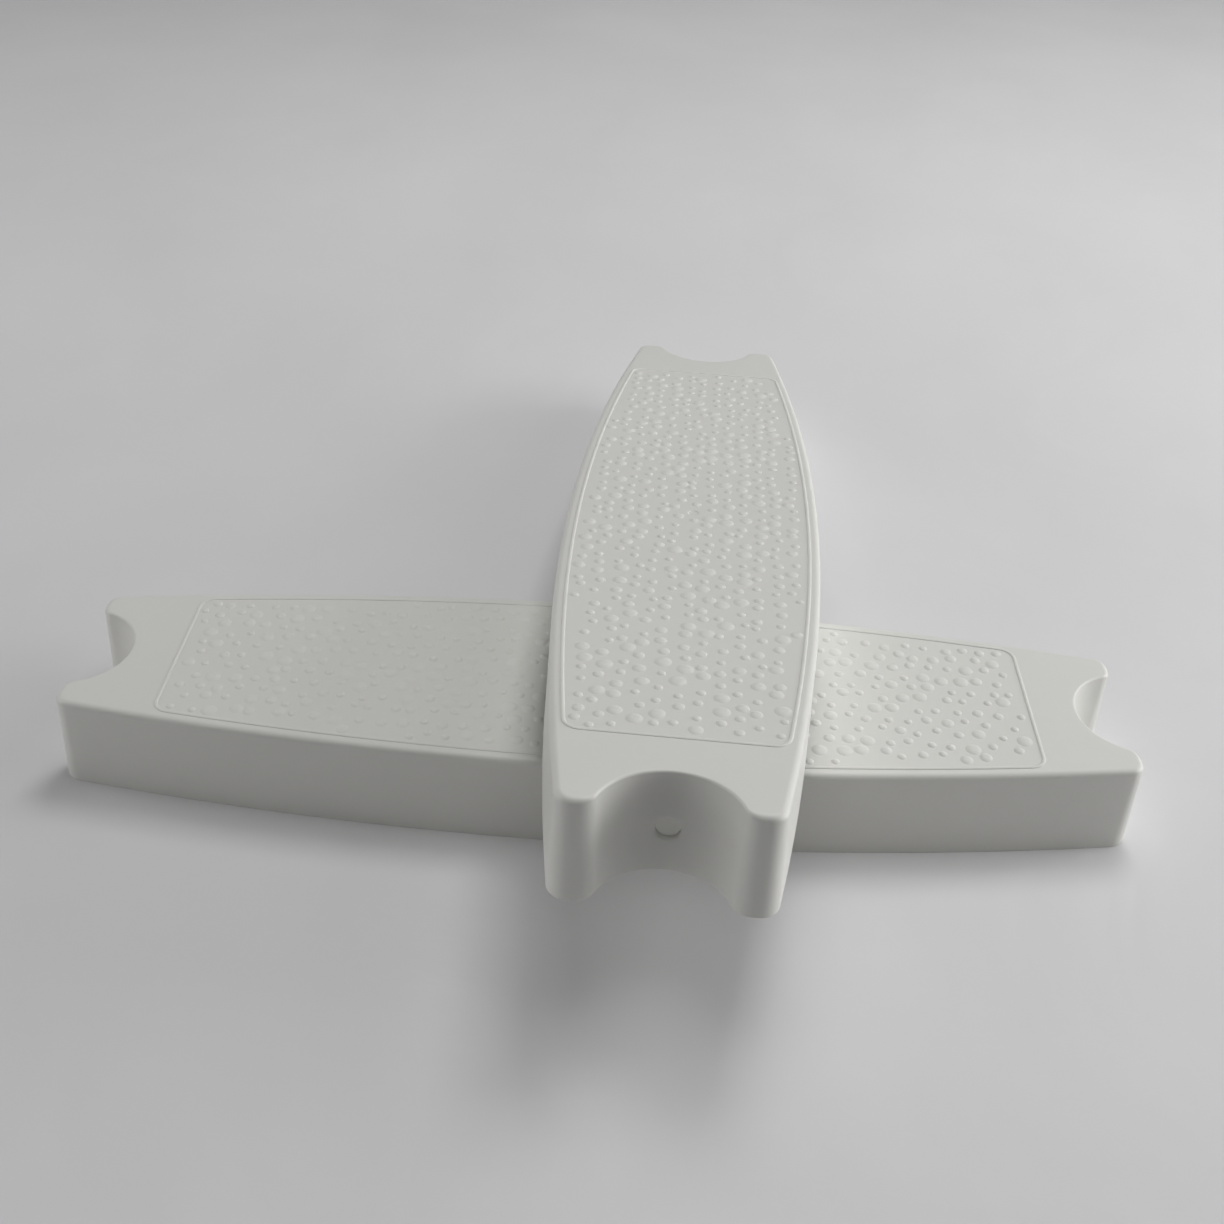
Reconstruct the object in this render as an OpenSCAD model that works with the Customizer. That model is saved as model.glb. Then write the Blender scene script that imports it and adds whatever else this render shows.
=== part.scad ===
// A pair of ladder treads for a pool, laid crosswise: one flat, one resting on it.
// Each tread is an open-bottomed moulding with a non-slip deck and a rail seat at each end.

/* [Tread] */
// Length over the tips, at the deck
tread_len = 500; // [380:5:640]
// Greatest width, at the middle of the deck
mid_w = 127; // [105:1:170]
// Width where the long sides would meet the tips
tip_w = 85; // [82:1:102]
// Height from the rim to the deck
tread_h = 46; // [30:1:70]
// How far each outer wall leans out from the deck down to the rim
draft = 1.2; // [0:0.1:2.5]
// Radius of the rounded edge around the deck
edge_r = 3; // [1:0.25:3.5]
// Radius of the upright corners of the prongs
corner_r = 7.5; // [4:0.25:8.25]

/* [Walls] */
// Thickness of the side and end walls
wall_t = 3; // [2:0.25:3.75]
// Thickness of the deck
deck_t = 3; // [2:0.25:6]
// Thickness of the ribs under the deck
rib_t = 2.4; // [1.5:0.1:4]
// How far the ribs stop short of the rim
rib_gap = 4; // [2:0.5:20]
// Number of ribs across the tread
rib_count = 7; // [3:1:12]
// Distance between the two lengthwise ribs
rib_spread = 40; // [24:1:60]

/* [Rail seats] */
// Radius of the hollow that the ladder rail sits in
seat_r = 29; // [24:0.5:31]
// Depth of the hollow, from the tips to its deepest line
seat_depth = 23.5; // [16:0.5:26]
// Diameter of the bolt hole in each rail seat
bolt_d = 10; // [6:0.1:14]
// Height of the bolt hole above the rim
bolt_z = 19.5; // [12:0.5:24]

/* [Grip] */
// Distance from the tips to the raised border of the grip panel
panel_end = 45.6; // [35:1:80]
// Distance from the long sides to the raised border
panel_side = 4.6; // [4:0.1:12]
// Corner radius of the raised border
panel_r = 8; // [4:0.5:16]
// Width of the raised border
bead_w = 1.8; // [1:0.1:3]
// Height of the raised border
bead_h = 0.45; // [0.3:0.05:1]
// Average distance between the raised dots
dot_pitch = 9.6; // [8.5:0.1:20]
// Diameter of the smallest dot
dot_min_d = 3.8; // [2:0.1:4.5]
// Diameter of the largest dot
dot_max_d = 7.6; // [5:0.1:8]
// Height of the dots
dot_h = 0.6; // [0.3:0.1:1.2]
// Diameter of the moulding gate mark at the middle of the deck
gate_d = 5.5; // [3:0.5:8]

/* [Stack] */
// Turn of the upper tread away from square, in degrees
stack_yaw = -2.6; // [-20:0.1:20]
// Slope of the upper tread, down towards the back, in degrees
stack_tilt = 5.8; // [3:0.1:10]
// Sideways offset of the upper tread's middle
stack_x = 40; // [-60:1:60]
// Distance of the upper tread's middle behind the lower tread's middle
stack_y = 80; // [66:1:110]
// Clearance between the two treads
stack_gap = 0.2; // [0.05:0.05:0.5]

/* [Hidden] */
$fn = 96;
eps = 0.01;

half_len = tread_len / 2;
half_w = mid_w / 2;

// Long sides: one wide arc through the middle width and the tip width.
side_rise = (mid_w - tip_w) / 2;
side_r = (half_len * half_len + side_rise * side_rise) / (2 * side_rise);
side_cy = half_w - side_r;

// Rail seat: an arc centred beyond the tips.
seat_cx = half_len - seat_depth + seat_r;

// Upright corners of a prong: one touches the long side, one the rail seat, both the tip.
corner_x = half_len - corner_r;
outer_y = side_cy + sqrt(pow(side_r - corner_r, 2) - corner_x * corner_x);
inner_y = sqrt(pow(seat_r + corner_r, 2) - pow(seat_cx - corner_x, 2));
side_half_angle = atan(corner_x / (outer_y - side_cy));
seat_half_angle = atan(inner_y / (seat_cx - corner_x));

// Grip panel: its border line is the long sides' arc, moved in, and a straight line at each end.
panel_x = half_len - panel_end;
panel_side_r = side_r - panel_side;
panel_corner_x = panel_x - panel_r;
panel_corner_y = side_cy + sqrt(pow(panel_side_r - panel_r, 2) - panel_corner_x * panel_corner_x);

// How deep the border and dots are bedded in the deck, and how far dots keep off the gate mark.
dot_bite = 0.4;
gate_clear = 1;
gate_depth = 0.4;

// Corner posts stand a hair proud, so that their surfaces cross the walls and don't graze them.
proud = 0.03;

// Stack: the upper tread's rim rests on the lower tread's border, or on its rounded back edge.
rim_over_edge = tread_h - edge_r + (edge_r + stack_gap) / cos(stack_tilt)
    + (half_w - edge_r) * tan(stack_tilt);
rim_over_border = tread_h + bead_h + stack_gap / cos(stack_tilt)
    + (half_w - panel_side) * tan(stack_tilt);
rim_z = max(rim_over_edge, rim_over_border);
upper_z = rim_z - stack_y * tan(stack_tilt);

// How far the upper tread reaches from its middle, forwards at its rim and backwards at its deck.
post_reach = cos(stack_tilt) * (corner_x * cos(stack_yaw) + outer_y * abs(sin(stack_yaw)));
front_reach = post_reach + (corner_r + draft) * cos(stack_tilt);
back_reach = post_reach + (corner_r - edge_r) * cos(stack_tilt) + edge_r
    + (tread_h - edge_r) * sin(stack_tilt);
middle_y = stack_y + (back_reach - front_reach) / 2;

// Half the width of the grip panel's border line at distance x from the middle.
function panel_half_w(x) = side_cy + sqrt(panel_side_r * panel_side_r - x * x);

// A scattered value from 0 to 1 for each whole number k.
function noise(k) = let (v = 43758.5453 * sin(78.233 * k + 12.9)) v - floor(v);

// Section of the outside against x = r: it leans out below and is rounded at the deck.
module outside_section(r) {
    polygon([[0, 0], [r + draft, 0], [r, tread_h - edge_r], [r - edge_r, tread_h - edge_r],
        [r - edge_r, tread_h], [0, tread_h]]);
    translate([r - edge_r, tread_h - edge_r]) intersection() {
        circle(edge_r);
        square(edge_r);
    }
}

// The same for what lies outside: from x = r to far, from below the rim to above the deck.
module around_section(r, far) {
    difference() {
        translate([0, -1]) square([far, tread_h + 2]);
        outside_section(r);
        translate([-1, tread_h - eps]) square([r - edge_r + 1, 2]);
        translate([-1, -2]) square([r + draft + 1, 2 + eps]);
    }
}

// A mirrored pair about the middle, along x or along y.
module both_x() {
    for (side = [0, 1]) mirror([side, 0, 0]) children();
}

module both_y() {
    for (side = [0, 1]) mirror([0, side, 0]) children();
}

// The wide disc whose edge is one long side.
module side_disc() {
    translate([0, side_cy, 0]) rotate_extrude($fn = 1440) outside_section(side_r);
}

// A bar whose two ends are the tips.
module tip_bar() {
    rotate([90, 0, 0]) linear_extrude(2 * mid_w, center = true)
        for (side = [0, 1]) mirror([side, 0]) outside_section(half_len);
}

// What is cut away around an upright corner post, from angle a0 to angle a1.
module corner_cut(x, y, a0, a1) {
    middle = (a0 + a1) / 2;
    translate([x + proud * cos(middle), y + proud * sin(middle), 0]) rotate([0, 0, a0])
        rotate_extrude(angle = a1 - a0) around_section(corner_r, 2 * corner_r);
}

// The hollow for a rail, flared at the deck by the rounded edge and narrower at the rim.
module rail_seat() {
    translate([seat_cx, 0, 0]) rotate_extrude() difference() {
        translate([0, -1]) square([seat_r + edge_r, tread_h + 2]);
        polygon([[seat_r - draft, 0], [seat_r, tread_h - edge_r], [2 * seat_r, tread_h - edge_r],
            [2 * seat_r, -2], [seat_r - draft, -2]]);
        translate([seat_r + edge_r, tread_h - edge_r]) circle(edge_r);
    }
}

module outside() {
    difference() {
        intersection() {
            tip_bar();
            side_disc();
            mirror([0, 1, 0]) side_disc();
        }
        both_x() rail_seat();
        both_x() both_y() corner_cut(corner_x, outer_y, 0, 90 - side_half_angle);
        both_x() both_y() corner_cut(corner_x, inner_y, -seat_half_angle, 0);
    }
}

// What is left solid around the inside of an outer corner, from angle a0 to angle a1.
module inner_corner(x, y, a0, a1) {
    middle = (a0 + a1) / 2;
    top = tread_h - deck_t;
    lean = draft * (1 - top / (tread_h - edge_r));
    in_r = corner_r - wall_t;
    translate([x + proud * cos(middle), y + proud * sin(middle), 0]) rotate([0, 0, a0])
        rotate_extrude(angle = a1 - a0)
            polygon([[in_r + draft, -1], [in_r + draft, 0], [in_r + lean, top], [in_r + lean, top + 1],
                [2 * corner_r, top + 1], [2 * corner_r, -1]]);
}

// The open space under the deck, before the ribs.
module hollow() {
    top = tread_h - deck_t;
    lean = draft * (1 - top / (tread_h - edge_r));
    half_in = half_len - wall_t;
    difference() {
        intersection() {
            rotate([90, 0, 0]) linear_extrude(2 * mid_w, center = true)
                polygon([[half_in + draft, -1], [half_in + lean, top], [-half_in - lean, top],
                    [-half_in - draft, -1]]);
            intersection_for (side = [-1, 1]) translate([0, side * side_cy, 0])
                cylinder(r1 = side_r - wall_t + draft, r2 = side_r - wall_t + lean, h = top, $fn = 1440);
        }
        both_x() translate([seat_cx, 0, 0])
            cylinder(r1 = seat_r + wall_t - draft, r2 = seat_r + wall_t - lean, h = top);
        both_x() both_y() inner_corner(corner_x, outer_y, 0, 90 - side_half_angle);
    }
}

// Ribs across the tread and along it.
module rib_grid() {
    span = tread_len - 2 * seat_depth;
    pitch = span / (rib_count + 1);
    for (i = [1:rib_count])
        translate([i * pitch - span / 2 - rib_t / 2, -mid_w, rib_gap])
            cube([rib_t, 2 * mid_w, tread_h]);
    for (side = [-1, 1])
        translate([-tread_len, side * rib_spread / 2 - rib_t / 2, rib_gap])
            cube([2 * tread_len, rib_t, tread_h]);
}

// The grip panel's shape, moved in by d.
module panel(d) {
    difference() {
        intersection() {
            square([2 * (panel_x - d), 2 * mid_w], center = true);
            intersection_for (side = [-1, 1]) translate([0, side * side_cy])
                circle(panel_side_r - d, $fn = 1440);
        }
        for (sx = [0, 1], sy = [0, 1]) mirror([sx, 0]) mirror([0, sy]) difference() {
            translate([panel_corner_x, panel_corner_y]) square(2 * panel_r);
            translate([panel_corner_x, panel_corner_y]) circle(panel_r - d + proud);
        }
    }
}

module border() {
    translate([0, 0, tread_h - dot_bite]) linear_extrude(bead_h + dot_bite) difference() {
        panel(0);
        panel(bead_w);
    }
}

// A low dot with a rounded top, bedded a little into the deck.
module dot(d) {
    ball_r = (d * d / 4 + dot_h * dot_h) / (2 * dot_h);
    intersection() {
        translate([0, 0, dot_h - ball_r]) sphere(ball_r);
        translate([-d, -d, -dot_bite]) cube([2 * d, 2 * d, 2 * dot_bite + dot_h]);
    }
}

// Dots on a staggered grid, each pushed off its place and given its own size.
module dots() {
    row_pitch = dot_pitch * sqrt(3) / 2;
    rows = floor((half_w - panel_side) / row_pitch);
    cols = floor(panel_x / dot_pitch);
    push = dot_pitch - dot_max_d;
    for (j = [-rows:rows], i = [-cols:cols]) {
        k = 3 * ((j + rows) * (2 * cols + 1) + i + cols);
        d = dot_min_d + (dot_max_d - dot_min_d) * pow(noise(k), 1.5);
        x = (i + abs(j % 2) / 2) * dot_pitch + push * (2 * noise(k + 1) - 1);
        y = j * row_pitch + push * (2 * noise(k + 2) - 1);
        clear = d / 2 + bead_w;
        if (abs(x) < panel_x - clear && abs(y) < panel_half_w(x) - clear
            && norm([x, y]) > (d + gate_d) / 2 + gate_clear)
            translate([x, y, tread_h]) dot(d);
    }
}

module bolt_holes() {
    for (side = [-1, 1])
        translate([side * half_len, 0, bolt_z]) rotate([0, -90 * side, 0])
            cylinder(d = bolt_d, h = seat_depth + 2 * wall_t);
}

module gate_mark() {
    translate([0, 0, tread_h - gate_depth]) cylinder(d = gate_d, h = 2 * gate_depth);
}

module tread() {
    difference() {
        union() {
            outside();
            border();
            dots();
        }
        difference() {
            hollow();
            rib_grid();
        }
        bolt_holes();
        gate_mark();
    }
}

module lower_tread() {
    color("whitesmoke") translate([0, -middle_y, 0]) tread();
}

module upper_tread() {
    color("white") translate([stack_x, stack_y - middle_y, upper_z])
        rotate([-stack_tilt, 0, 0]) rotate([0, 0, 90 + stack_yaw]) tread();
}

lower_tread();
upper_tread();
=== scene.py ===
"""A pair of moulded pool ladder treads, laid crosswise on a pale studio sweep.

Both treads come out of one mould, so every surface is worked out once, in the
tread's own millimetres with its middle at x = y = 0 and its rim at z = 0, and
is then placed twice: flat for the lower tread, turned and tilted for the upper.
"""

import math

import bmesh
import bpy
import numpy as np
from mathutils import Matrix


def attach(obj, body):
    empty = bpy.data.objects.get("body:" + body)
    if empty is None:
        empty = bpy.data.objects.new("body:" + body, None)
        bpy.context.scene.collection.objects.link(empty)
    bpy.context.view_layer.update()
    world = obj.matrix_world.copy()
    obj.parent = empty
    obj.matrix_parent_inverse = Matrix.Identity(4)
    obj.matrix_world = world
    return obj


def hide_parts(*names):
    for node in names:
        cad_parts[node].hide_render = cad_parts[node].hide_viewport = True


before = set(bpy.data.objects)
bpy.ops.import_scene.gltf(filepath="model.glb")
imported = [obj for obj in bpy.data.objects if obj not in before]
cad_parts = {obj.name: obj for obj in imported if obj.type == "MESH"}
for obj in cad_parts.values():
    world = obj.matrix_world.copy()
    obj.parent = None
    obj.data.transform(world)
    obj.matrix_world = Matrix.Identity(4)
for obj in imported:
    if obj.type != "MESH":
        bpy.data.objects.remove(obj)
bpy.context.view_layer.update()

MM = 0.001

# The mould, in millimetres.
HALF_LEN = 250.0
HALF_W = 63.5
TIP_HALF_W = 42.5
HEIGHT = 46.0
DRAFT = 1.2
EDGE_R = 3.0
SEAT_EDGE_R = 1.2
CORNER_R = 7.5
WALL_T = 3.0
DECK_T = 3.0
RIB_T = 2.4
RIB_GAP = 4.0
RIB_COUNT = 7
RIB_SPREAD = 40.0
SEAT_R = 29.0
SEAT_DEPTH = 23.5
BOLT_R = 5.0
BOLT_Z = 19.5
PANEL_END = 45.6
PANEL_SIDE = 4.6
PANEL_R = 8.0
BEAD_W = 1.8
BEAD_H = 0.45
DOT_PITCH = 9.6
DOT_MIN_D = 3.8
DOT_MAX_D = 7.6
DOT_H = 0.6
GATE_D = 5.5
GATE_DEPTH = 0.4
GATE_CLEAR = 1.0

# How the two treads lie.
STACK_YAW = -2.6
STACK_TILT = 5.8
STACK_X = 40.0
STACK_Y = 80.0
STACK_GAP = 0.2

# Arcs of the outline, worked out from the sizes.
SIDE_RISE = HALF_W - TIP_HALF_W
SIDE_R = (HALF_LEN ** 2 + SIDE_RISE ** 2) / (2 * SIDE_RISE)
SIDE_CY = HALF_W - SIDE_R
SEAT_CX = HALF_LEN - SEAT_DEPTH + SEAT_R
CORNER_X = HALF_LEN - CORNER_R
OUTER_Y = SIDE_CY + math.sqrt((SIDE_R - CORNER_R) ** 2 - CORNER_X ** 2)
INNER_Y = math.sqrt((SEAT_R + CORNER_R) ** 2 - (SEAT_CX - CORNER_X) ** 2)
PANEL_X = HALF_LEN - PANEL_END
PANEL_SIDE_R = SIDE_R - PANEL_SIDE
WALL_TOP = HEIGHT - EDGE_R

# The square patch of wall around each bolt hole.
PATCH_HALF = 8.0
PATCH_CELLS = 8
HOLE_LIP = 0.35

# The rim's arris as (how far in, height), and the fillet under the deck.
RIM_ARRIS = ((0.0, 0.25), (0.08, 0.07), (0.3, 0.0))
UNDER_FILLET_R = 1.2

# The gate mark's dish as (share of its radius, share of its depth from the bottom up).
GATE_DISH = ((0.35, 0.0), (0.72, 0.02), (0.9, 0.1), (0.97, 0.55), (1.02, 0.92), (1.1, 1.0))

# Where the rings of the flat deck lie between the gate mark and the edge, and those of its underside between
# the middle and the walls, as shares of the way out.
DECK_SHARES = (0.04, 0.3, 0.65)
UNDER_SHARES = (1.0, 0.6, 0.2, 0.02)

# A dot's profile and the border's, as (share of the half width, share of the height).
DOT_PROFILE = ((0.40, 0.93), (0.68, 0.70), (0.88, 0.30), (1.0, 0.07), (1.08, -0.12))
BORDER_PROFILE = ((-1.0, -0.4), (-0.98, 0.25), (-0.7, 0.72), (-0.25, 0.97),
                  (0.25, 0.97), (0.7, 0.72), (0.98, 0.25), (1.0, -0.4))


# ------------------------------------------------------------------ placing
def tread_places():
    """The 4 x 4 matrix of each tread: the upper one turns about Z, tilts about X and is lifted until its rim
    meets the lower tread's edge or border; both then move back by the middle of the pair's length."""
    yaw, tilt = math.radians(STACK_YAW), math.radians(STACK_TILT)
    over_edge = WALL_TOP + (EDGE_R + STACK_GAP) / math.cos(tilt) + (HALF_W - EDGE_R) * math.tan(tilt)
    over_border = (HEIGHT + BEAD_H + STACK_GAP / math.cos(tilt)
                   + (HALF_W - PANEL_SIDE) * math.tan(tilt))
    lift = max(over_edge, over_border) - STACK_Y * math.tan(tilt)
    reach = math.cos(tilt) * (CORNER_X * math.cos(yaw) + OUTER_Y * abs(math.sin(yaw)))
    front = reach + (CORNER_R + DRAFT) * math.cos(tilt)
    back = reach + (CORNER_R - EDGE_R) * math.cos(tilt) + EDGE_R + WALL_TOP * math.sin(tilt)
    middle = STACK_Y + (back - front) / 2
    lower = np.eye(4)
    lower[1, 3] = -middle
    a = math.pi / 2 + yaw
    turn = np.array([[math.cos(a), -math.sin(a), 0], [math.sin(a), math.cos(a), 0], [0, 0, 1]])
    c, s = math.cos(tilt), math.sin(tilt)
    lean = np.array([[1, 0, 0], [0, c, s], [0, -s, c]])
    upper = np.eye(4)
    upper[:3, :3] = lean @ turn
    upper[:3, 3] = (STACK_X, STACK_Y - middle, lift)
    return {"lower": lower, "upper": upper}


PLACES = tread_places()


def make_piece(name, body, points, faces, material, sharp_angle=None):
    """A mesh piece from points in tread millimetres and a list of faces, placed with its tread, on which it
    rides. All faces are turned to point outwards."""
    place = PLACES[body]
    world = (points @ place[:3, :3].T + place[:3, 3]) * MM
    mesh = bpy.data.meshes.new(name)
    mesh.from_pydata(world.tolist(), [], faces)
    shape = bmesh.new()
    shape.from_mesh(mesh)
    bmesh.ops.recalc_face_normals(shape, faces=shape.faces)
    shape.to_mesh(mesh)
    shape.free()
    mesh.polygons.foreach_set("use_smooth", np.full(len(mesh.polygons), True))
    if sharp_angle:
        mesh.set_sharp_from_angle(angle=math.radians(sharp_angle))
    mesh.update()
    piece = bpy.data.objects.new(name, mesh)
    bpy.context.scene.collection.objects.link(piece)
    piece.data.materials.append(material)
    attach(piece, body)
    return piece


def grid_faces(rows, cols, keep=None):
    """Quads of a grid of rows x cols points whose columns close on themselves: cell i, j joins the points
    i, j and i, j + 1 to those of row i + 1. Where a mask is given, only its cells are made."""
    i, j = np.meshgrid(np.arange(rows - 1), np.arange(cols), indexing="ij")
    k = (j + 1) % cols
    quads = np.stack([i * cols + j, i * cols + k, (i + 1) * cols + k, (i + 1) * cols + j], axis=-1)
    if keep is not None:
        quads = quads[keep]
    return quads.reshape(-1, 4).tolist()


# ------------------------------------------------------------------ outline
def arc(cx, cy, r, a0, a1, count, inward=False):
    """Points on an arc from angle a0 up to, not with, a1, each with the normal that leaves the plastic."""
    a = np.linspace(a0, a1, count, endpoint=False)
    n = np.stack([np.cos(a), np.sin(a)], axis=1)
    return np.array([cx, cy]) + r * n, (-n if inward else n)


def quarter_outline():
    """The outline from the middle of a long side to the deepest line of a rail seat: side arc, corner arc,
    tip, corner arc, seat arc, and at last the columns of the hole's patch at even steps of y. The normals
    come second, and third the radius of the deck's edge: full along the sides and tips, easing down by
    share^2 (3 - 2 share) to a crisp one around the seat."""
    side_a = math.atan2(OUTER_Y - SIDE_CY, CORNER_X)
    seat_a = math.atan2(INNER_Y, CORNER_X - SEAT_CX)
    patch_a = math.pi - math.asin(PATCH_HALF / SEAT_R)
    tip = np.array([[HALF_LEN, OUTER_Y], [HALF_LEN, (OUTER_Y + INNER_Y) / 2]])
    parts = [
        arc(0, SIDE_CY, SIDE_R, math.pi / 2, side_a, count=44),
        arc(CORNER_X, OUTER_Y, CORNER_R, side_a, 0, count=9),
        (tip, np.array([[1.0, 0], [1.0, 0]])),
        arc(CORNER_X, INNER_Y, CORNER_R, 0, seat_a - math.pi, count=12),
        arc(SEAT_CX, 0, SEAT_R, seat_a, patch_a, count=12, inward=True),
    ]
    y = np.linspace(PATCH_HALF, 0, PATCH_CELLS // 2 + 1)
    n = np.stack([np.sqrt(1 - (y / SEAT_R) ** 2), -y / SEAT_R], axis=1)
    parts.append((np.array([SEAT_CX, 0]) - SEAT_R * n, n))
    points = np.concatenate([p for p, _ in parts])
    normals = np.concatenate([n for _, n in parts])
    before, easing, after = (sum(len(p) for p, _ in group) for group in (parts[:3], parts[3:4], parts[4:]))
    share = np.linspace(0, 1, easing, endpoint=False)
    share = share ** 2 * (3 - 2 * share)
    edges = np.concatenate([np.full(before, EDGE_R), EDGE_R + (SEAT_EDGE_R - EDGE_R) * share,
                            np.full(after, SEAT_EDGE_R)])
    return points, normals, edges


def full_outline():
    """The quarter mirrored three times into one closed loop, without doubling the points on the axes: points,
    normals and radii of the deck's edge."""
    def mirrored(values, flip_y, flip_x):
        """The quarter's values, then their mirror in the X axis, then the mirror of both in the Y axis."""
        half = np.concatenate([values, (values * flip_y)[-2:0:-1]])
        return np.concatenate([half, values[:1] * flip_y, (half * flip_x)[:0:-1]])

    points, normals, edges = quarter_outline()
    flips = np.array([1, -1]), np.array([-1, 1])
    return mirrored(points, *flips), mirrored(normals, *flips), mirrored(edges, 1, 1)


def skin_offset(z, inner):
    """How far the outer or inner skin of a wall lies outside the outline at height z: both lean out downwards
    by the draft."""
    lean = DRAFT * (1 - np.minimum(z, WALL_TOP) / WALL_TOP)
    return lean - WALL_T if inner else lean


# -------------------------------------------------------------------- shell
def wall_heights():
    """Heights of the wall's rows, with even ones across the patch of the bolt hole."""
    first = 0.6
    low = np.linspace(first, BOLT_Z - PATCH_HALF, 5)[:-1]
    patch = np.linspace(BOLT_Z - PATCH_HALF, BOLT_Z + PATCH_HALF, PATCH_CELLS + 1)
    high = np.linspace(BOLT_Z + PATCH_HALF, WALL_TOP - UNDER_FILLET_R, 5)[1:]
    return np.concatenate([low, patch, high])


def shell_mesh():
    """The hollow moulding: a closed profile carried round the outline. From the gate mark the profile runs
    flat out over the deck, round its edge, down the wall, over the rim, up inside and in under the deck.
    Each bolt hole is a round ring fitted in a square patch of both skins and joined by a bore."""
    outline, normal, edge = full_outline()
    cols = len(outline)
    towards = outline / np.linalg.norm(outline, axis=1)[:, None]
    rows = []

    def ring(flat, z):
        """One more row of the shell: the points flat at height z."""
        rows.append(np.column_stack([flat, np.broadcast_to(z, cols)]))

    def at(offset, z):
        """One more row of the shell: the outline pushed out by offset, at height z."""
        ring(outline + np.reshape(offset, (-1, 1)) * normal, z)

    # Gate mark: a shallow dish with a soft lip, then the flat deck.
    gate = GATE_D / 2
    for share, high in GATE_DISH:
        ring(towards * gate * share, HEIGHT - GATE_DEPTH * (1 - high))
    gate_lip = towards * gate * GATE_DISH[-1][0]
    flat_margin = 0.5
    deck_edge = outline - (EDGE_R + flat_margin) * normal
    for share in DECK_SHARES:
        ring(gate_lip * (1 - share) + deck_edge * share, HEIGHT)
    ring(deck_edge, HEIGHT)
    for a in np.radians(np.linspace(90, 0, 9)):
        at(edge * (math.cos(a) - 1), HEIGHT - edge * (1 - math.sin(a)))
    heights = wall_heights()
    outer_first = len(rows)
    for z in heights[::-1]:
        at(skin_offset(z, False), z)
    # Rim: flat with softened arrises.
    for inset, z in RIM_ARRIS:
        at(skin_offset(0.0, False) - inset, z)
    for inset, z in RIM_ARRIS[::-1]:
        at(skin_offset(0.0, True) + inset, z)
    inner_first = len(rows)
    for z in heights:
        at(skin_offset(z, True), z)
    # Fillet into the underside of the deck.
    under = HEIGHT - DECK_T
    for a in np.radians(np.linspace(0, 90, 4)):
        at(skin_offset(under, True) - UNDER_FILLET_R * (1 - math.cos(a)),
           under - UNDER_FILLET_R * (1 - math.sin(a)))
    under_margin = 2.0
    under_edge = outline - (WALL_T + under_margin) * normal
    for share in UNDER_SHARES:
        ring(under_edge * share, under)

    points = np.concatenate(rows)
    row_count = len(rows)

    # Cells of the patches are left out of the grid.
    keep = np.ones((row_count - 1, cols), bool)
    quarter = len(quarter_outline()[0]) - 1
    half = PATCH_CELLS // 2
    patch_rows = np.flatnonzero(np.abs(heights[:-1] + heights[1:] - 2 * BOLT_Z) < 2 * PATCH_HALF)
    last = len(heights) - 1
    seats = (quarter, cols - quarter)
    for seat in seats:
        for c in range(seat - half, seat + half):
            keep[outer_first + last - 1 - patch_rows, c % cols] = False
            keep[inner_first + patch_rows, c % cols] = False
    faces = grid_faces(row_count, cols, keep)

    # Poles of the deck and of its underside.
    extra = [[0, 0, HEIGHT - GATE_DEPTH], [0, 0, under]]
    top_pole, under_pole = len(points), len(points) + 1
    last_ring = (row_count - 1) * cols
    for c in range(cols):
        d = (c + 1) % cols
        faces.append([c, top_pole, d])
        faces.append([last_ring + d, under_pole, last_ring + c])

    # Bolt holes.
    for seat, side in zip(seats, (1, -1)):
        loops = []
        for inner in (False, True):
            row = [inner_first + k if inner else outer_first + last - k
                   for k in range(patch_rows[0], patch_rows[-1] + 2)]
            col = [c % cols for c in range(seat - half, seat + half + 1)]
            border = ([(row[0], c) for c in col[:-1]] + [(r, col[-1]) for r in row[:-1]]
                      + [(row[-1], c) for c in col[:0:-1]] + [(r, col[0]) for r in row[:0:-1]])
            loop = [r * cols + c for r, c in border]
            yz = points[loop][:, 1:] - [0, BOLT_Z]
            unit = yz / np.linalg.norm(yz, axis=1)[:, None]

            def on_skin(flat, sunk=0.0):
                """Points of the seat's skin that stand over flat, (y, z) from the hole's middle:
                x = SEAT_CX - sqrt(r^2 - y^2), with r the skin's radius at z, sunk into the wall."""
                z = flat[:, 1] + BOLT_Z
                r = SEAT_R - skin_offset(z, inner)
                x = SEAT_CX - np.sqrt(r ** 2 - flat[:, 0] ** 2) + (sunk if inner else -sunk)
                return np.column_stack([side * x, flat[:, 0], z]).tolist()

            rings = [on_skin(0.5 * yz + 0.5 * BOLT_R * unit), on_skin((BOLT_R + HOLE_LIP) * unit),
                     on_skin(BOLT_R * unit, HOLE_LIP)]
            previous = loop
            for points_of_ring in rings:
                here = list(range(len(points) + len(extra), len(points) + len(extra) + len(loop)))
                extra.extend(points_of_ring)
                for k in range(len(loop)):
                    m = (k + 1) % len(loop)
                    faces.append([previous[k], previous[m], here[m], here[k]])
                previous = here
            loops.append(previous)
        outer_loop, inner_loop = loops
        for k in range(len(outer_loop)):
            m = (k + 1) % len(outer_loop)
            faces.append([outer_loop[k], outer_loop[m], inner_loop[m], inner_loop[k]])
    return np.concatenate([points, np.array(extra)]), faces


# ---------------------------------------------------------------------- dots
def noise(k):
    """A scattered value from 0 to 1 for each whole number k: the fraction left of a large multiple of a
    sine."""
    v = 43758.5453 * np.sin(np.radians(78.233 * k + 12.9))
    return v - np.floor(v)


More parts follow.
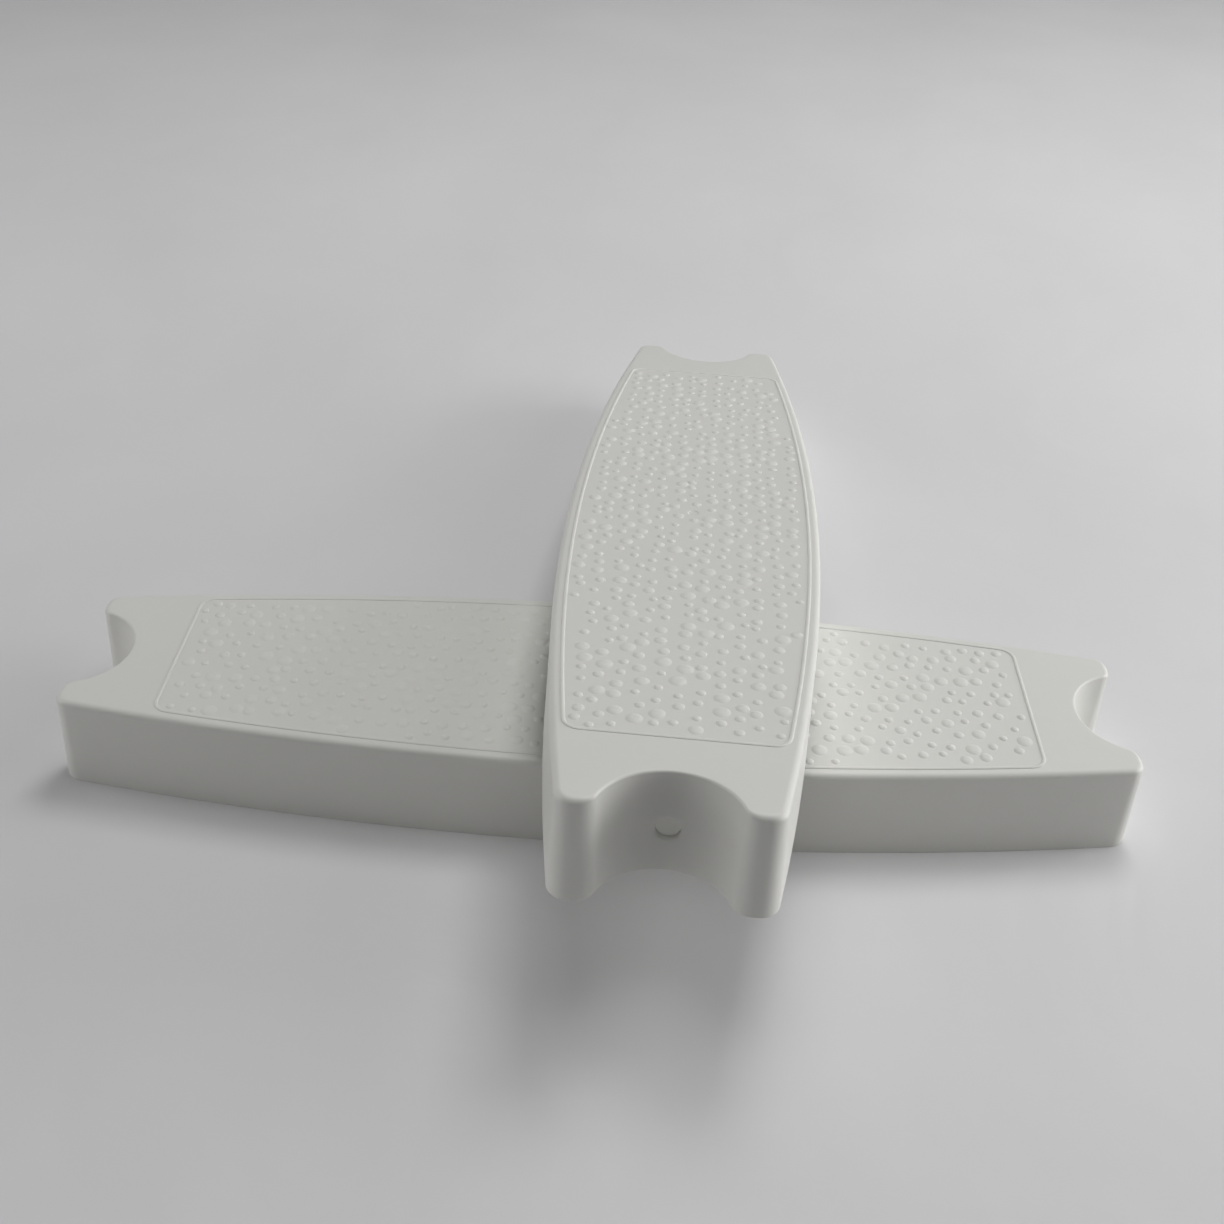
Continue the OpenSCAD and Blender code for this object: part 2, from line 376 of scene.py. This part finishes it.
def dot_places():
    """Middles and diameters of the dots: a staggered grid, each dot pushed off its place and given its own
    size."""
    pitch = DOT_PITCH * math.sqrt(3) / 2
    rows = math.floor((HALF_W - PANEL_SIDE) / pitch)
    cols = math.floor(PANEL_X / DOT_PITCH)
    j, i = np.meshgrid(np.arange(-rows, rows + 1), np.arange(-cols, cols + 1), indexing="ij")
    # Three scattered values are taken for each dot.
    k = 3 * ((j + rows) * (2 * cols + 1) + i + cols)
    push = DOT_PITCH - DOT_MAX_D
    d = DOT_MIN_D + (DOT_MAX_D - DOT_MIN_D) * noise(k) ** 1.5
    x = (i + np.abs(j) % 2 / 2) * DOT_PITCH + push * (2 * noise(k + 1) - 1)
    y = j * pitch + push * (2 * noise(k + 2) - 1)
    clear = d / 2 + BEAD_W
    panel_half_w = SIDE_CY + np.sqrt(PANEL_SIDE_R ** 2 - x ** 2)
    fits = ((np.abs(x) < PANEL_X - clear) & (np.abs(y) < panel_half_w - clear)
            & (np.hypot(x, y) > (d + GATE_D) / 2 + GATE_CLEAR))
    return x[fits], y[fits], d[fits]


def dots_mesh(segments=14):
    """Every dot is a low dome: its profile turned about the dot's own axis, with a foot that runs out softly
    into the deck, is bedded in it and closed below."""
    x, y, d = dot_places()
    profile = np.array(DOT_PROFILE)
    a = np.linspace(0, 2 * math.pi, segments, endpoint=False)
    circle = np.stack([np.cos(a), np.sin(a)], axis=1)
    flat = profile[:, 0, None, None] * circle
    high = np.repeat(profile[:, 1], segments)
    unit = np.column_stack([flat.reshape(-1, 2), high])
    unit = np.concatenate([unit, [[0, 0, 1.0]]])
    size = np.stack([d / 2, d / 2, np.full(len(d), DOT_H)], axis=1)
    middle = np.stack([x, y, np.full(len(d), HEIGHT)], axis=1)
    points = unit[None] * size[:, None] + middle[:, None]
    per_dot = len(unit)
    faces = [quad[::-1] for quad in grid_faces(len(profile), segments)]
    faces += [[c, (c + 1) % segments, per_dot - 1] for c in range(segments)]
    bottom = (len(profile) - 1) * segments
    faces.append([bottom + c for c in range(segments - 1, -1, -1)])
    all_faces = [[v + dot * per_dot for v in face] for dot in range(len(x)) for face in faces]
    return points.reshape(-1, 3), all_faces


# -------------------------------------------------------------------- border
def border_mesh():
    """The raised border: a half-round profile carried round the grip panel's outline, its foot in the
    deck."""
    corner_x = PANEL_X - PANEL_R
    corner_y = SIDE_CY + math.sqrt((PANEL_SIDE_R - PANEL_R) ** 2 - corner_x ** 2)
    side_a = math.atan2(corner_y - SIDE_CY, corner_x)
    parts = [arc(0, SIDE_CY, PANEL_SIDE_R, math.pi / 2, side_a, count=36),
             arc(corner_x, corner_y, PANEL_R, side_a, 0, count=9)]
    y = np.linspace(corner_y, 0, 5)
    parts.append((np.column_stack([np.full(5, PANEL_X), y]), np.tile([1.0, 0], (5, 1))))
    p, n = (np.concatenate([part[k] for part in parts]) for k in (0, 1))
    flip_y, flip_x = np.array([1, -1]), np.array([-1, 1])
    half_p = np.concatenate([p, (p * flip_y)[-2:0:-1], p[:1] * flip_y])
    half_n = np.concatenate([n, (n * flip_y)[-2:0:-1], n[:1] * flip_y])
    outline = np.concatenate([half_p, (half_p * flip_x)[-2:0:-1]])
    normal = np.concatenate([half_n, (half_n * flip_x)[-2:0:-1]])
    half = BEAD_W / 2
    points = np.concatenate([
        np.column_stack([outline + (share * half - half) * normal,
                         np.full(len(outline), HEIGHT + BEAD_H * high)])
        for share, high in BORDER_PROFILE])
    cols = len(outline)
    faces = grid_faces(len(BORDER_PROFILE), cols)
    last = (len(BORDER_PROFILE) - 1) * cols
    faces += [[last + c, last + (c + 1) % cols, (c + 1) % cols, c] for c in range(cols)]
    return points, faces


# ---------------------------------------------------------------------- ribs
def rib_mesh():
    """The ribs under the deck: each is a tall bar with a rounded lower edge, its ends in the walls and its
    top in the deck."""
    profile_a = np.radians(np.linspace(180, 360, 7))
    half = RIB_T / 2
    low = np.stack([half * np.cos(profile_a), RIB_GAP + half + half * np.sin(profile_a)], axis=1)
    into_deck, into_wall = 0.8, 1.0
    top = HEIGHT - DECK_T + into_deck
    profile = np.concatenate([[[-half, top]], low, [[half, top]]])
    bars = []
    span = HALF_LEN - SEAT_DEPTH
    for k in range(1, RIB_COUNT + 1):
        x = 2 * span * k / (RIB_COUNT + 1) - span
        reach = SIDE_CY + math.sqrt((SIDE_R - into_wall) ** 2 - x ** 2)
        bars.append((np.array([x, -reach]), np.array([x, reach])))
    for y in (-RIB_SPREAD / 2, RIB_SPREAD / 2):
        reach = SEAT_CX - math.sqrt((SEAT_R + into_wall) ** 2 - y ** 2)
        bars.append((np.array([-reach, y]), np.array([reach, y])))
    points, faces = [], []
    size = len(profile)
    for start, end in bars:
        along = (end - start) / np.linalg.norm(end - start)
        across = np.array([along[1], -along[0]])
        first = len(points)
        for spot in (start, end):
            flat = spot + profile[:, :1] * across
            points.extend(np.column_stack([flat, profile[:, 1]]).tolist())
        faces += [[first + c, first + (c + 1) % size, first + size + (c + 1) % size, first + size + c]
                  for c in range(size)]
        faces.append([first + c for c in range(size - 1, -1, -1)])
        faces.append([first + size + c for c in range(size)])
    return np.array(points), faces


# ----------------------------------------------------------------- materials
def socket(tree, name, kind, default=None, out=False):
    """A new input or output of a node group, with its default."""
    made = tree.interface.new_socket(name=name, in_out="OUTPUT" if out else "INPUT", socket_type=kind)
    if default is not None:
        made.default_value = default


def moulded_finish_group():
    """A node group for moulded plastic: a colour with cloudy tone, a roughness with rubbed patches, and a
    height for the grained mould face."""
    tree = bpy.data.node_groups.new("moulded_finish", "ShaderNodeTree")
    socket(tree, "Colour", "NodeSocketColor", (0.8, 0.8, 0.8, 1))
    socket(tree, "Cloud", "NodeSocketFloat", 0.03)
    socket(tree, "Roughness", "NodeSocketFloat", 0.4)
    socket(tree, "Rubbing", "NodeSocketFloat", 0.08)
    socket(tree, "Colour", "NodeSocketColor", out=True)
    socket(tree, "Roughness", "NodeSocketFloat", out=True)
    socket(tree, "Height", "NodeSocketFloat", out=True)
    nodes, links = tree.nodes, tree.links
    given, result = nodes.new("NodeGroupInput"), nodes.new("NodeGroupOutput")
    place = nodes.new("ShaderNodeTexCoord")

    def noise_node(scale, detail, rough=0.5, warp=0.0):
        """The value of a noise texture on Object coordinates."""
        n = nodes.new("ShaderNodeTexNoise")
        n.inputs["Scale"].default_value = scale
        n.inputs["Detail"].default_value = detail
        n.inputs["Roughness"].default_value = rough
        n.inputs["Distortion"].default_value = warp
        links.new(place.outputs["Object"], n.inputs["Vector"])
        return n.outputs["Fac"]

    def math_node(op, a, b, c=None):
        """The outcome of a Math node on numbers or sockets."""
        n = nodes.new("ShaderNodeMath")
        n.operation = op
        for slot, value in zip(n.inputs, (a, b, c)):
            if value is None:
                continue
            if isinstance(value, (int, float)):
                slot.default_value = value
            else:
                links.new(value, slot)
        return n.outputs[0]

    # Tone: soft clouds with fine specks.
    cloud = math_node("SUBTRACT", noise_node(scale=9, detail=4, rough=0.55, warp=0.4), 0.5)
    speck = math_node("SUBTRACT", noise_node(scale=260, detail=2), 0.5)
    tone = math_node("ADD", cloud, math_node("MULTIPLY", speck, 0.35))
    value = math_node("MULTIPLY_ADD", tone, given.outputs["Cloud"], 1.0)
    shade = nodes.new("ShaderNodeHueSaturation")
    links.new(value, shade.inputs["Value"])
    links.new(given.outputs["Colour"], shade.inputs["Color"])
    links.new(shade.outputs["Color"], result.inputs["Colour"])

    # Rubbed patches.
    rubbed = math_node("SUBTRACT", noise_node(scale=22, detail=6, rough=0.65, warp=1.2), 0.5)
    rough = math_node("MULTIPLY_ADD", rubbed, given.outputs["Rubbing"], given.outputs["Roughness"])
    links.new(rough, result.inputs["Roughness"])

    # Mould face: fine grain on a slight waviness.
    grain = math_node("MULTIPLY", noise_node(scale=1400, detail=2, rough=0.6), 0.3)
    wave = math_node("MULTIPLY", noise_node(scale=55, detail=2, rough=0.4), 1.2)
    links.new(math_node("ADD", grain, wave), result.inputs["Height"])
    return tree


def plastic(name, colour, roughness, cloud, rubbing, bump):
    """Satin moulded plastic with the shared finish group feeding its colour, roughness and bump."""
    material = bpy.data.materials.new(name)
    material.use_nodes = True
    nodes, links = material.node_tree.nodes, material.node_tree.links
    shader = nodes["Principled BSDF"]
    shader.inputs["IOR"].default_value = 1.48
    finish = nodes.new("ShaderNodeGroup")
    finish.node_tree = FINISH
    finish.inputs["Colour"].default_value = (*colour, 1)
    finish.inputs["Cloud"].default_value = cloud
    finish.inputs["Roughness"].default_value = roughness
    finish.inputs["Rubbing"].default_value = rubbing
    links.new(finish.outputs["Colour"], shader.inputs["Base Color"])
    links.new(finish.outputs["Roughness"], shader.inputs["Roughness"])
    grain = nodes.new("ShaderNodeBump")
    grain.inputs["Strength"].default_value = bump
    grain.inputs["Distance"].default_value = 0.0002
    links.new(finish.outputs["Height"], grain.inputs["Height"])
    links.new(grain.outputs["Normal"], shader.inputs["Normal"])
    return material


FINISH = moulded_finish_group()
WHITE = (0.752, 0.751, 0.716)
deck_white = plastic("white_abs_shell", WHITE, roughness=0.46, cloud=0.05, rubbing=0.12, bump=0.35)
dot_white = plastic("white_abs_grip", WHITE, roughness=0.62, cloud=0.05, rubbing=0.10, bump=0.2)
rib_white = plastic("white_abs_ribs", WHITE, roughness=0.50, cloud=0.05, rubbing=0.12, bump=0.35)

shell = shell_mesh()
dots = dots_mesh()
border = border_mesh()
ribs = rib_mesh()
for body in ("lower", "upper"):
    tread = make_piece(f"{body}_tread_shell", body, *shell, deck_white)
    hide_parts(f"{body}_tread")
    make_piece(f"{body}_tread_dots", body, *dots, dot_white)
    make_piece(f"{body}_tread_border", body, *border, dot_white)
    make_piece(f"{body}_tread_ribs", body, *ribs, rib_white, sharp_angle=40)


# --------------------------------------------------------------------- stage
def paper_material():
    """Pale grey backdrop paper, faintly cloudy and creased."""
    material = bpy.data.materials.new("sweep_paper")
    material.use_nodes = True
    nodes, links = material.node_tree.nodes, material.node_tree.links
    shader = nodes["Principled BSDF"]
    shader.inputs["Roughness"].default_value = 0.75
    place = nodes.new("ShaderNodeTexCoord")
    cloud = nodes.new("ShaderNodeTexNoise")
    cloud.inputs["Scale"].default_value = 5
    cloud.inputs["Detail"].default_value = 5
    ramp = nodes.new("ShaderNodeValToRGB")
    ramp.color_ramp.elements[0].position = 0.3
    ramp.color_ramp.elements[0].color = (0.735, 0.727, 0.735, 1)
    ramp.color_ramp.elements[1].position = 0.7
    ramp.color_ramp.elements[1].color = (0.775, 0.770, 0.778, 1)
    crease = nodes.new("ShaderNodeTexNoise")
    crease.inputs["Scale"].default_value = 7
    crease.inputs["Detail"].default_value = 3
    crease.inputs["Distortion"].default_value = 1.5
    bump = nodes.new("ShaderNodeBump")
    bump.inputs["Strength"].default_value = 0.3
    bump.inputs["Distance"].default_value = 0.004
    for texture in (cloud, crease):
        links.new(place.outputs["Object"], texture.inputs["Vector"])
    links.new(cloud.outputs["Fac"], ramp.inputs["Fac"])
    links.new(ramp.outputs["Color"], shader.inputs["Base Color"])
    links.new(crease.outputs["Fac"], bump.inputs["Height"])
    links.new(bump.outputs["Normal"], shader.inputs["Normal"])
    # From below the paper lets the view and the lamp under it through, so that the undersides can be seen.
    clear = nodes.new("ShaderNodeBsdfTransparent")
    side = nodes.new("ShaderNodeNewGeometry")
    ray = nodes.new("ShaderNodeLightPath")
    either = nodes.new("ShaderNodeMath")
    either.operation = "MAXIMUM"
    mix = nodes.new("ShaderNodeMixShader")
    links.new(side.outputs["Backfacing"], either.inputs[0])
    links.new(ray.outputs["Is Shadow Ray"], either.inputs[1])
    links.new(either.outputs[0], mix.inputs[0])
    links.new(shader.outputs["BSDF"], mix.inputs[1])
    links.new(clear.outputs["BSDF"], mix.inputs[2])
    links.new(mix.outputs[0], nodes["Material Output"].inputs["Surface"])
    return material


def sweep_surface():
    """The backdrop, in metres: level in front of y = 0, then rising as the square of the way behind it, so
    that the upper tread's low end rests on it, and levelling off at top further back:
    z = top (1 - exp(-rest_z (y / rest_y)^2 / top))."""
    rest_y, rest_z, top = 0.235, 0.0185, 0.085
    half_width, front, bend_end, back = 1.4, -1.6, 0.6, 1.8
    x = np.linspace(-half_width, half_width, 41)
    y = np.concatenate([np.linspace(front, 0.0, 21)[:-1], np.linspace(0.0, bend_end, 31)[:-1],
                        np.linspace(bend_end, back, 21)])
    rise = np.clip(y, 0, None)
    z = top * (1 - np.exp(-rest_z * (rise / rest_y) ** 2 / top))
    gx, gy = np.meshgrid(x, y)
    gz = np.repeat(z[:, None], len(x), axis=1)
    points = np.stack([gx, gy, gz], axis=-1).reshape(-1, 3)
    cols = len(x)
    i, j = np.meshgrid(np.arange(len(y) - 1), np.arange(cols - 1), indexing="ij")
    v = (i * cols + j).ravel()
    faces = np.stack([v, v + 1, v + cols + 1, v + cols], axis=1)
    mesh = bpy.data.meshes.new("sweep")
    mesh.from_pydata(points.tolist(), [], faces.tolist())
    mesh.polygons.foreach_set("use_smooth", np.full(len(faces), True))
    floor = bpy.data.objects.new("sweep", mesh)
    bpy.context.scene.collection.objects.link(floor)
    floor.data.materials.append(paper_material())
    return floor


sweep_surface()


# -------------------------------------------------------------------- lights
# Softboxes that face the origin: name, place and side in metres, watts.
SOFTBOXES = (
    ("overhead", (0.1, 0.0, 2.2), 1.2, 9.0),
    ("overhead_behind", (0.35, 0.8, 2.0), 0.7, 11.0),
    ("right", (1.7, 0.0, 1.1), 1.4, 6.9),
    ("right_behind", (1.3, 1.2, 1.3), 1.4, 4.3),
    ("right_low", (1.8, 0.1, 0.45), 1.0, 16.5),
    ("left", (-1.7, 0.0, 1.1), 1.4, 3.3),
    ("left_low", (-1.8, 0.1, 0.45), 1.0, 2.8),
    ("left_front", (-1.6, -0.8, 0.45), 1.0, 4.6),
    ("below", (0.0, 0.1, -1.2), 1.2, 2.2),
)


def put(thing, name, right, up, back, spot):
    """An object for a lamp or a camera, at spot, with its own axes pointing right, up and back."""
    placed = bpy.data.objects.new(name, thing)
    bpy.context.scene.collection.objects.link(placed)
    matrix = np.eye(4)
    matrix[:3, :3] = np.column_stack([right, up, back])
    matrix[:3, 3] = spot
    placed.matrix_world = Matrix(matrix.tolist())
    return placed


def softbox(name, spot, size, watts):
    """A square softbox at spot that faces the origin."""
    lamp = bpy.data.lights.new(name, "AREA")
    lamp.shape = "SQUARE"
    lamp.size = size
    lamp.energy = watts
    back = np.array(spot) / np.linalg.norm(spot)
    right = np.cross([0, 1.0, 0], back)
    right /= np.linalg.norm(right)
    put(lamp, name, right, np.cross(back, right), back, spot)


for box in SOFTBOXES:
    softbox(*box)


def studio_world():
    """A pale wall all round, seen by the camera only; it adds next to no light."""
    world = bpy.data.worlds.new("studio")
    world.use_nodes = True
    nodes, links = world.node_tree.nodes, world.node_tree.links
    dim = nodes["Background"]
    dim.inputs["Color"].default_value = (0.96, 0.97, 1.0, 1)
    dim.inputs["Strength"].default_value = 0.01
    pale = nodes.new("ShaderNodeBackground")
    pale.inputs["Color"].default_value = (0.58, 0.58, 0.59, 1)
    ray = nodes.new("ShaderNodeLightPath")
    mix = nodes.new("ShaderNodeMixShader")
    links.new(ray.outputs["Is Camera Ray"], mix.inputs[0])
    links.new(dim.outputs[0], mix.inputs[1])
    links.new(pale.outputs[0], mix.inputs[2])
    links.new(mix.outputs[0], nodes["World Output"].inputs["Surface"])
    return world


bpy.context.scene.world = studio_world()
bpy.context.scene.view_settings.view_transform = "Standard"


# -------------------------------------------------------------------- camera
def look():
    """A camera in front of the pair: turned aside by the yaw, down by the pitch and then by the roll, all in
    radians. Places and clip distances are in metres, the sensor and the lens in millimetres."""
    pitch, yaw, roll = 0.61476908, -0.00596556, 0.06064340
    spot = (0.00566, -0.64620, 0.48395)
    forward = np.array([math.sin(yaw) * math.cos(pitch), math.cos(yaw) * math.cos(pitch), -math.sin(pitch)])
    level = np.array([math.cos(yaw), -math.sin(yaw), 0])
    upright = np.cross(level, forward)
    right = math.cos(roll) * level + math.sin(roll) * upright
    up = -math.sin(roll) * level + math.cos(roll) * upright
    lens = bpy.data.cameras.new("camera")
    lens.sensor_width = 36
    lens.lens = 43.88
    lens.clip_start, lens.clip_end = 0.01, 20
    bpy.context.scene.camera = put(lens, "camera", right, up, -forward, spot)


look()
